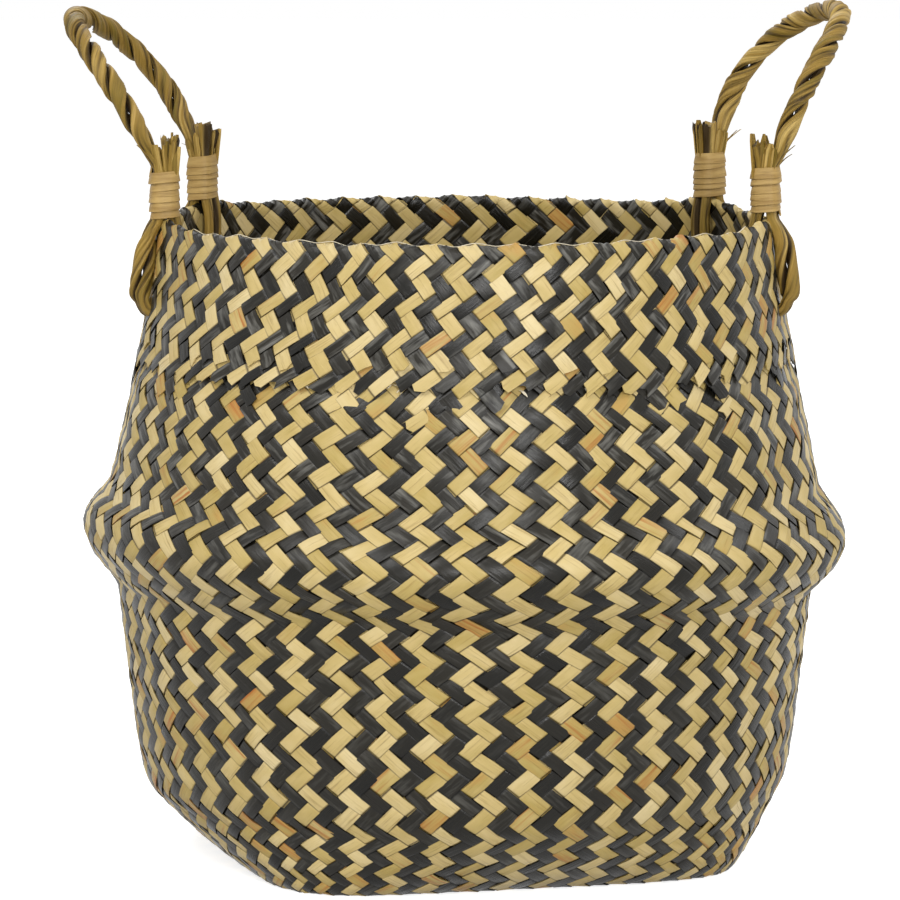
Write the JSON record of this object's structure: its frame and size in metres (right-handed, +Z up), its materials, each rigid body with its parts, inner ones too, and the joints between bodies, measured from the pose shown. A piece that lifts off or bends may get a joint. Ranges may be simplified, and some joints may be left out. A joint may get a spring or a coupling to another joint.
{
  "type": "market basket",
  "caption": "Bellied market basket of woven flat strips with a folded ridge, a turned-over rim and two bound, twisted rope loop handles that tilt.",
  "frame": {"origin": "centre of the base, on the surface the basket stands on", "axes": "+Z up, +X towards the right handle, -Y towards the front"},
  "size_m": [0.3131, 0.302, 0.3375],
  "materials": {
    "natural_strips": "satin",
    "woven_strips": "satin",
    "folded_strips": "satin",
    "binding_strip": "matte",
    "rope": "matte"
  },
  "bodies": {
    "basket": {"woven_base": "natural_strips", "lower_wall": "woven_strips", "belly_underside": "woven_strips", "belly_shoulder": "woven_strips", "upper_wall": "woven_strips", "turned_layer": "folded_strips", "rim_fold": "folded_strips", "left_front_leg_ply_a": "rope", "left_front_leg_ply_b": "rope", "left_back_leg_ply_a": "rope", "left_back_leg_ply_b": "rope", "right_front_leg_ply_a": "rope", "right_front_leg_ply_b": "rope", "right_back_leg_ply_a": "rope", "right_back_leg_ply_b": "rope", "left_front_whipping": "binding_strip", "left_back_whipping": "binding_strip", "right_front_whipping": "binding_strip", "right_back_whipping": "binding_strip"},
    "left_handle": {"left_handle_ply_a": "rope", "left_handle_ply_b": "rope"},
    "right_handle": {"right_handle_ply_a": "rope", "right_handle_ply_b": "rope"}
  },
  "joints": [
    {"name": "left_handle_tilt", "type": "hinge", "parent": "basket", "child": "left_handle", "pos_m": [-0.11539, 0.01622, 0.2767], "axis": [-0.1392, -0.9903, 0], "range_deg": [-25, 50]},
    {"name": "right_handle_tilt", "type": "hinge", "parent": "basket", "child": "right_handle", "pos_m": [0.11218, 0.0218, 0.2767], "axis": [-0.1908, 0.9816, 0], "range_deg": [-25, 53]}
  ]
}
